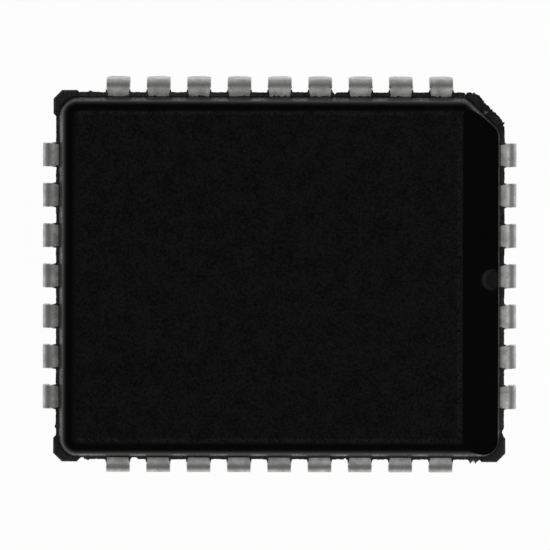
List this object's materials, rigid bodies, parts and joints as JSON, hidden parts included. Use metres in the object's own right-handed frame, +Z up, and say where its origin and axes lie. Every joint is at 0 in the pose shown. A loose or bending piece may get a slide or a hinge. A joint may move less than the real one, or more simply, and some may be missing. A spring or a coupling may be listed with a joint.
{
  "type": "plcc chip",
  "caption": "Rectangular plastic leaded chip carrier: black moulded integrated circuit with J-shaped tin leads on four sides, a bevelled pin 1 side and a cut corner.",
  "frame": {"origin": "centre of the package on the seating plane, at the lowest points of the leads", "axes": "+Z up from the board through the flat top, +X along the long side towards the bevelled pin 1 side, +Y along the short side towards the cut corner"},
  "size_m": [0.015, 0.0124, 0.0033],
  "materials": {
    "moulding": "black filled epoxy, spark-eroded matte top with glossier walls and bevel",
    "tin_plate": "satin tin plate with bright sheared edges",
    "copper_sheet": "rolled copper alloy sheet",
    "silver_adhesive": "silver-filled adhesive",
    "silicon": "polished silicon with metal layers",
    "gold_wire": "drawn gold wire"
  },
  "bodies": {
    "root": {"package_body": "moulding", "lead_01": "tin_plate", "lead_02": "tin_plate", "lead_03": "tin_plate", "lead_04": "tin_plate", "lead_05": "tin_plate", "lead_06": "tin_plate", "lead_07": "tin_plate", "lead_08": "tin_plate", "lead_09": "tin_plate", "lead_10": "tin_plate", "lead_11": "tin_plate", "lead_12": "tin_plate", "lead_13": "tin_plate", "lead_14": "tin_plate", "lead_15": "tin_plate", "lead_16": "tin_plate", "lead_17": "tin_plate", "lead_18": "tin_plate", "lead_19": "tin_plate", "lead_20": "tin_plate", "lead_21": "tin_plate", "lead_22": "tin_plate", "lead_23": "tin_plate", "lead_24": "tin_plate", "lead_25": "tin_plate", "lead_26": "tin_plate", "lead_27": "tin_plate", "lead_28": "tin_plate", "lead_29": "tin_plate", "lead_30": "tin_plate", "lead_31": "tin_plate", "lead_32": "tin_plate", "die_pad": "copper_sheet", "die_attach": "silver_adhesive", "die": "silicon", "bond_wires": "gold_wire"}
  },
  "joints": []
}
